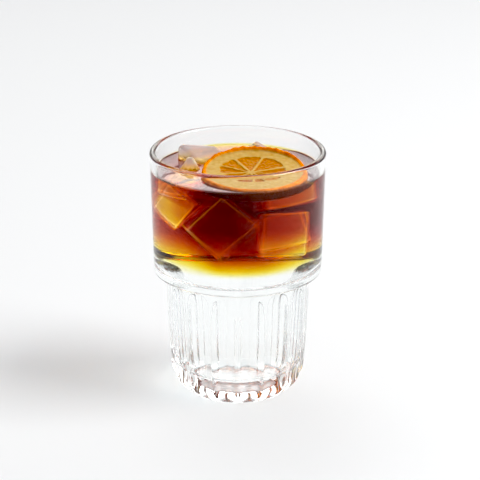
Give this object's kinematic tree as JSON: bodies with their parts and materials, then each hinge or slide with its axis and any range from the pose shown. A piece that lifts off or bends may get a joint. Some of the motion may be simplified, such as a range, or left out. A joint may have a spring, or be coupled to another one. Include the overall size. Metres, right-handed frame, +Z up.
{
  "type": "cold brew coffee",
  "caption": "Iced cold brew layered over a clear drink in a stepped, fluted tumbler, topped with ice and a wheel of orange.",
  "frame": {"origin": "centre of the foot of the glass, on the surface it stands on", "axes": "+Z up along the glass's axis, -Y towards the viewer's side, +X to the viewer's right"},
  "size_m": [0.084, 0.084, 0.12],
  "materials": {
    "glass": "clear pressed glass, polished",
    "clear_drink": "clear still liquid",
    "coffee": "clear dark brown liquid, amber where thin",
    "orange": "moist flesh, pale pith and a waxy pitted rind",
    "ice": "clear wet ice with melted edges"
  },
  "bodies": {
    "root": {"glass": "glass", "tonic": "clear_drink", "cold_brew": "coffee", "orange_slice": "orange", "ice_back_left": "ice", "ice_front_left": "ice", "ice_back_right": "ice"}
  },
  "joints": []
}
